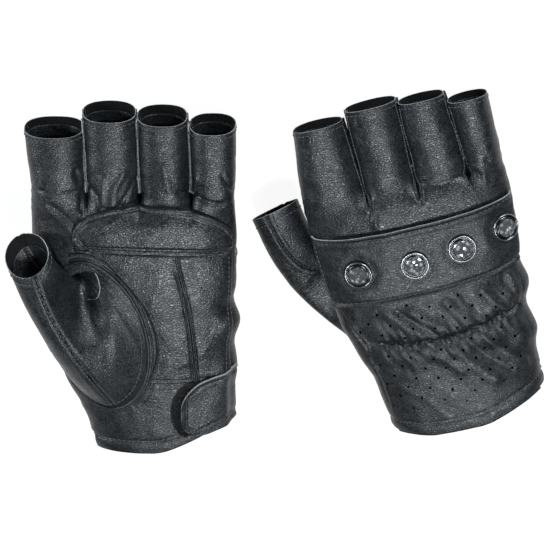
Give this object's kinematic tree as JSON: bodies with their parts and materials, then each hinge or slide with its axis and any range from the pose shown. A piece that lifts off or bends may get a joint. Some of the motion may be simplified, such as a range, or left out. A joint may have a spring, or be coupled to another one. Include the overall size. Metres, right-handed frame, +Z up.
{
  "type": "fingerless glove pair",
  "caption": "Pair of fingerless leather gloves lying flat, one palm up and one back up, with padded palm, studded knuckle band, perforated back and hook-and-loop wrist strap.",
  "frame": {"origin": "middle of the pair's footprint, on the surface the gloves lie on", "axes": "+Z up, +Y towards the fingertips of the left glove, +X from the left glove to the right glove"},
  "size_m": [0.2733, 0.1898, 0.052],
  "materials": {
    "leather": "satin pebbled black",
    "perforated_leather": "satin black, perforated",
    "leather_edge": "turned black edge",
    "foam": "open cell foam",
    "elastic": "ribbed black",
    "loop_textile": "fuzzy black loop pile",
    "hook_textile": "black hooks",
    "stud_metal": "dark polished nickel",
    "crystal": "faceted smoke black"
  },
  "bodies": {
    "left_glove": {"left_palm_trank": "leather", "left_palm_cuff": "leather", "left_back_trank": "leather", "left_back_cuff_panel": "perforated_leather", "left_fourchette_index_middle": "leather", "left_fourchette_middle_ring": "leather", "left_fourchette_ring_little": "leather", "left_index_side_strip": "leather", "left_ulnar_side_panel": "leather", "left_radial_side_panel": "leather", "left_palm_pad_upper": "leather", "left_upper_pad_foam": "foam", "left_heel_patch_inner": "leather", "left_heel_patch_outer": "leather", "left_finger_hems": "leather_edge", "left_wrist_hem": "leather_edge", "left_wrist_elastic": "elastic", "left_knuckle_band": "leather", "left_stud_settings": "stud_metal", "left_stud_crystals": "crystal", "left_stud_washers": "stud_metal", "left_loop_patch": "loop_textile"},
    "left_thumb": {"left_thumb_front_panel": "leather", "left_thumb_back_panel": "leather", "left_thumb_gusset": "leather", "left_thumb_hem": "leather_edge"},
    "left_strap": {"left_strap": "leather", "left_hook_patch": "hook_textile"},
    "right_glove": {"right_palm_trank": "leather", "right_palm_cuff": "leather", "right_back_trank": "leather", "right_back_cuff_panel": "perforated_leather", "right_fourchette_index_middle": "leather", "right_fourchette_middle_ring": "leather", "right_fourchette_ring_little": "leather", "right_index_side_strip": "leather", "right_ulnar_side_panel": "leather", "right_radial_side_panel": "leather", "right_palm_pad_upper": "leather", "right_upper_pad_foam": "foam", "right_heel_patch_inner": "leather", "right_heel_patch_outer": "leather", "right_finger_hems": "leather_edge", "right_wrist_hem": "leather_edge", "right_wrist_elastic": "elastic", "right_knuckle_band": "leather", "right_stud_settings": "stud_metal", "right_stud_crystals": "crystal", "right_stud_washers": "stud_metal", "right_loop_patch": "loop_textile"},
    "right_thumb": {"right_thumb_front_panel": "leather", "right_thumb_back_panel": "leather", "right_thumb_gusset": "leather", "right_thumb_hem": "leather_edge"},
    "right_strap": {"right_strap": "leather", "right_hook_patch": "hook_textile"}
  },
  "joints": [
    {"name": "left_thumb_swing", "type": "hinge", "parent": "left_glove", "child": "left_thumb", "pos_m": [-0.1156, -0.0329, 0.02586], "axis": [0.2079, -0.9781, 0], "range_deg": [0, 30]},
    {"name": "left_strap_opening", "type": "hinge", "parent": "left_glove", "child": "left_strap", "pos_m": [-0.0209, -0.0654, 0.02096], "axis": [0, 1, 0], "range_deg": [0, 165]},
    {"name": "right_thumb_swing", "type": "hinge", "parent": "right_glove", "child": "right_thumb", "pos_m": [0.03191, -0.02771, 0.016], "axis": [-0.3338, 0.9426, 0], "range_deg": [0, 20]},
    {"name": "right_strap_opening", "type": "hinge", "parent": "right_glove", "child": "right_strap", "pos_m": [0.13255, -0.04145, 0.0165], "axis": [0.2504, -0.9681, 0], "range_deg": [0, 165]},
    {"name": "right_glove_lift", "type": "slide", "parent": "left_glove", "child": "right_glove", "axis": [0, 0, 1], "range_m": [0, 0.12]}
  ]
}
